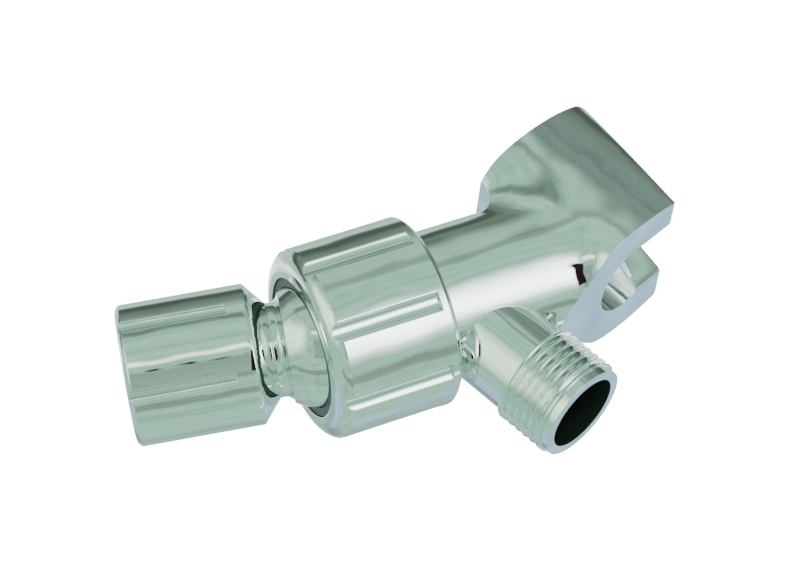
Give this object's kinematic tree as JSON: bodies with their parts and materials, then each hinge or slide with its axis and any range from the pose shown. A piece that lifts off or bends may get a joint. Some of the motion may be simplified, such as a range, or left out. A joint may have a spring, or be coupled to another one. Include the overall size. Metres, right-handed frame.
{
  "type": "shower arm bracket",
  "caption": "Chromed hand-shower bracket: fluted ball inlet for a shower arm's end, fluted clamp nut, threaded hose outlet and a slotted conical cradle that holds the handset.",
  "frame": {"origin": "on the hose outlet's axis, at the outer end of its thread", "axes": "-Z is the way a hose nut leaves the outlet, +X is the way the cradle's slot opens, and the casting is symmetric about Y = 0"},
  "size_m": [0.112, 0.038, 0.0781],
  "materials": {
    "chrome": "mirror-polished chrome plate",
    "grey_plastic": "satin moulded plastic",
    "black_rubber": "plain moulded rubber"
  },
  "bodies": {
    "inlet": {"ball_inlet": "chrome"},
    "swing": {"inlet_washer": "black_rubber"},
    "bearing": {"bearing_ring": "grey_plastic"},
    "bracket": {"bracket_body": "chrome", "ball_seal": "black_rubber"},
    "clamp": {"clamp_nut": "chrome"}
  },
  "joints": [
    {"name": "ball_swing", "type": "hinge", "parent": "inlet", "child": "swing", "pos_m": [-0.0253, 0, 0.04391], "axis": [-0.8034, 0.1445, 0.5776], "continuous": true},
    {"name": "ball_tilt", "type": "hinge", "parent": "swing", "child": "bearing", "pos_m": [-0.0253, 0, 0.04391], "axis": [0.1786, -0.8669, 0.4654], "range_deg": [-41.85, 8.15]},
    {"name": "body_spin", "type": "hinge", "parent": "bearing", "child": "bracket", "pos_m": [-0.0253, 0, 0.04391], "axis": [0.9336, 0, -0.3584], "continuous": true},
    {"name": "clamp_turn", "type": "hinge", "parent": "bracket", "child": "clamp", "pos_m": [-0.0253, 0, 0.04391], "axis": [-0.9336, 0, 0.3584], "range_deg": [0, 120]}
  ]
}
